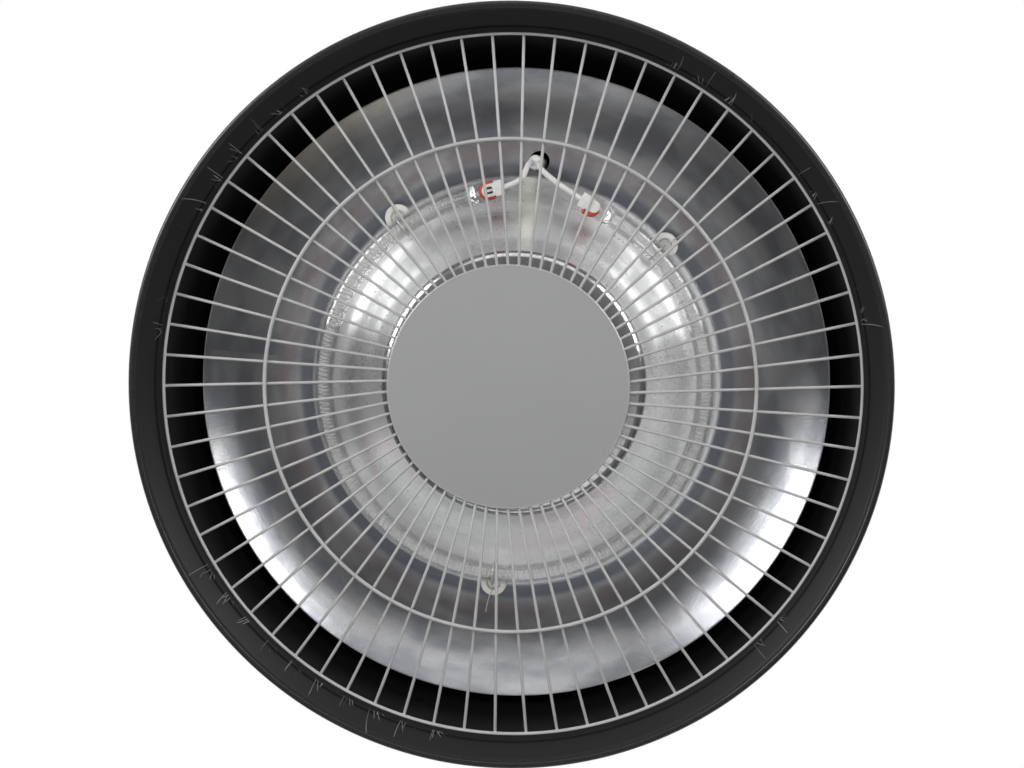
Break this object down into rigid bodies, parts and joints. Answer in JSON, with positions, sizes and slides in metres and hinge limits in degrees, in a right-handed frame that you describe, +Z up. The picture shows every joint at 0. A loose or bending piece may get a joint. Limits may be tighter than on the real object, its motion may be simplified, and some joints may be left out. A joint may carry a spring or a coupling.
{
  "type": "hanging infrared patio heater",
  "caption": "Bell-shaped hanging heater: black shade, ring quartz lamp under a spun reflector, welded wire guard and a lifting eye with a swinging ring.",
  "frame": {"origin": "centre of the shade's lowest edge, on the plane that it can stand on", "axes": "+Z up along the shade's axis; -Y towards the hole where the lamp's leads come out of the reflector"},
  "size_m": [0.4249, 0.425, 0.2443],
  "materials": {
    "black_enamel": "satin",
    "cap_enamel": "satin",
    "polished_aluminium": "satin spun",
    "guard_wire": "satin plated",
    "plate_enamel": "satin",
    "zinc_steel": "zinc plated",
    "quartz": "clear",
    "tungsten": "wound wire",
    "white_ceramic": "matt",
    "orange_silicone": "soft",
    "spring_steel": "bright wire",
    "lead_sheath": "glass-fibre braid",
    "grey_nylon": "moulded",
    "black_rubber": "soft",
    "block_plastic": "moulded"
  },
  "bodies": {
    "housing": {"outer_shade": "black_enamel", "vent_collar": "black_enamel", "top_cap": "cap_enamel", "mounting_plate": "zinc_steel", "eye_bolt": "zinc_steel", "eye_nuts": "zinc_steel", "reflector": "polished_aluminium", "reflector_spacers": "zinc_steel", "spacer_screws": "zinc_steel", "guard_spokes": "guard_wire", "guard_outer_ring": "guard_wire", "guard_middle_ring": "guard_wire", "guard_centre_plate": "plate_enamel", "quartz_tube": "quartz", "filament": "tungsten", "end_plugs": "white_ceramic", "end_seals": "orange_silicone", "support_posts": "white_ceramic", "support_clips": "spring_steel", "lead_left": "lead_sheath", "lead_right": "lead_sheath", "lead_sleeve": "lead_sheath", "plate_grommet": "black_rubber", "terminal_block": "block_plastic", "gland_body": "grey_nylon", "gland_nut": "grey_nylon", "gland_seal": "black_rubber", "gland_dome": "grey_nylon"},
    "hanging_ring": {"hanging_ring": "zinc_steel"}
  },
  "joints": [
    {"name": "ring_swing", "type": "hinge", "parent": "housing", "child": "hanging_ring", "pos_m": [0, 0, 0.19281], "axis": [0, 1, 0], "range_deg": [-90, 90]}
  ]
}
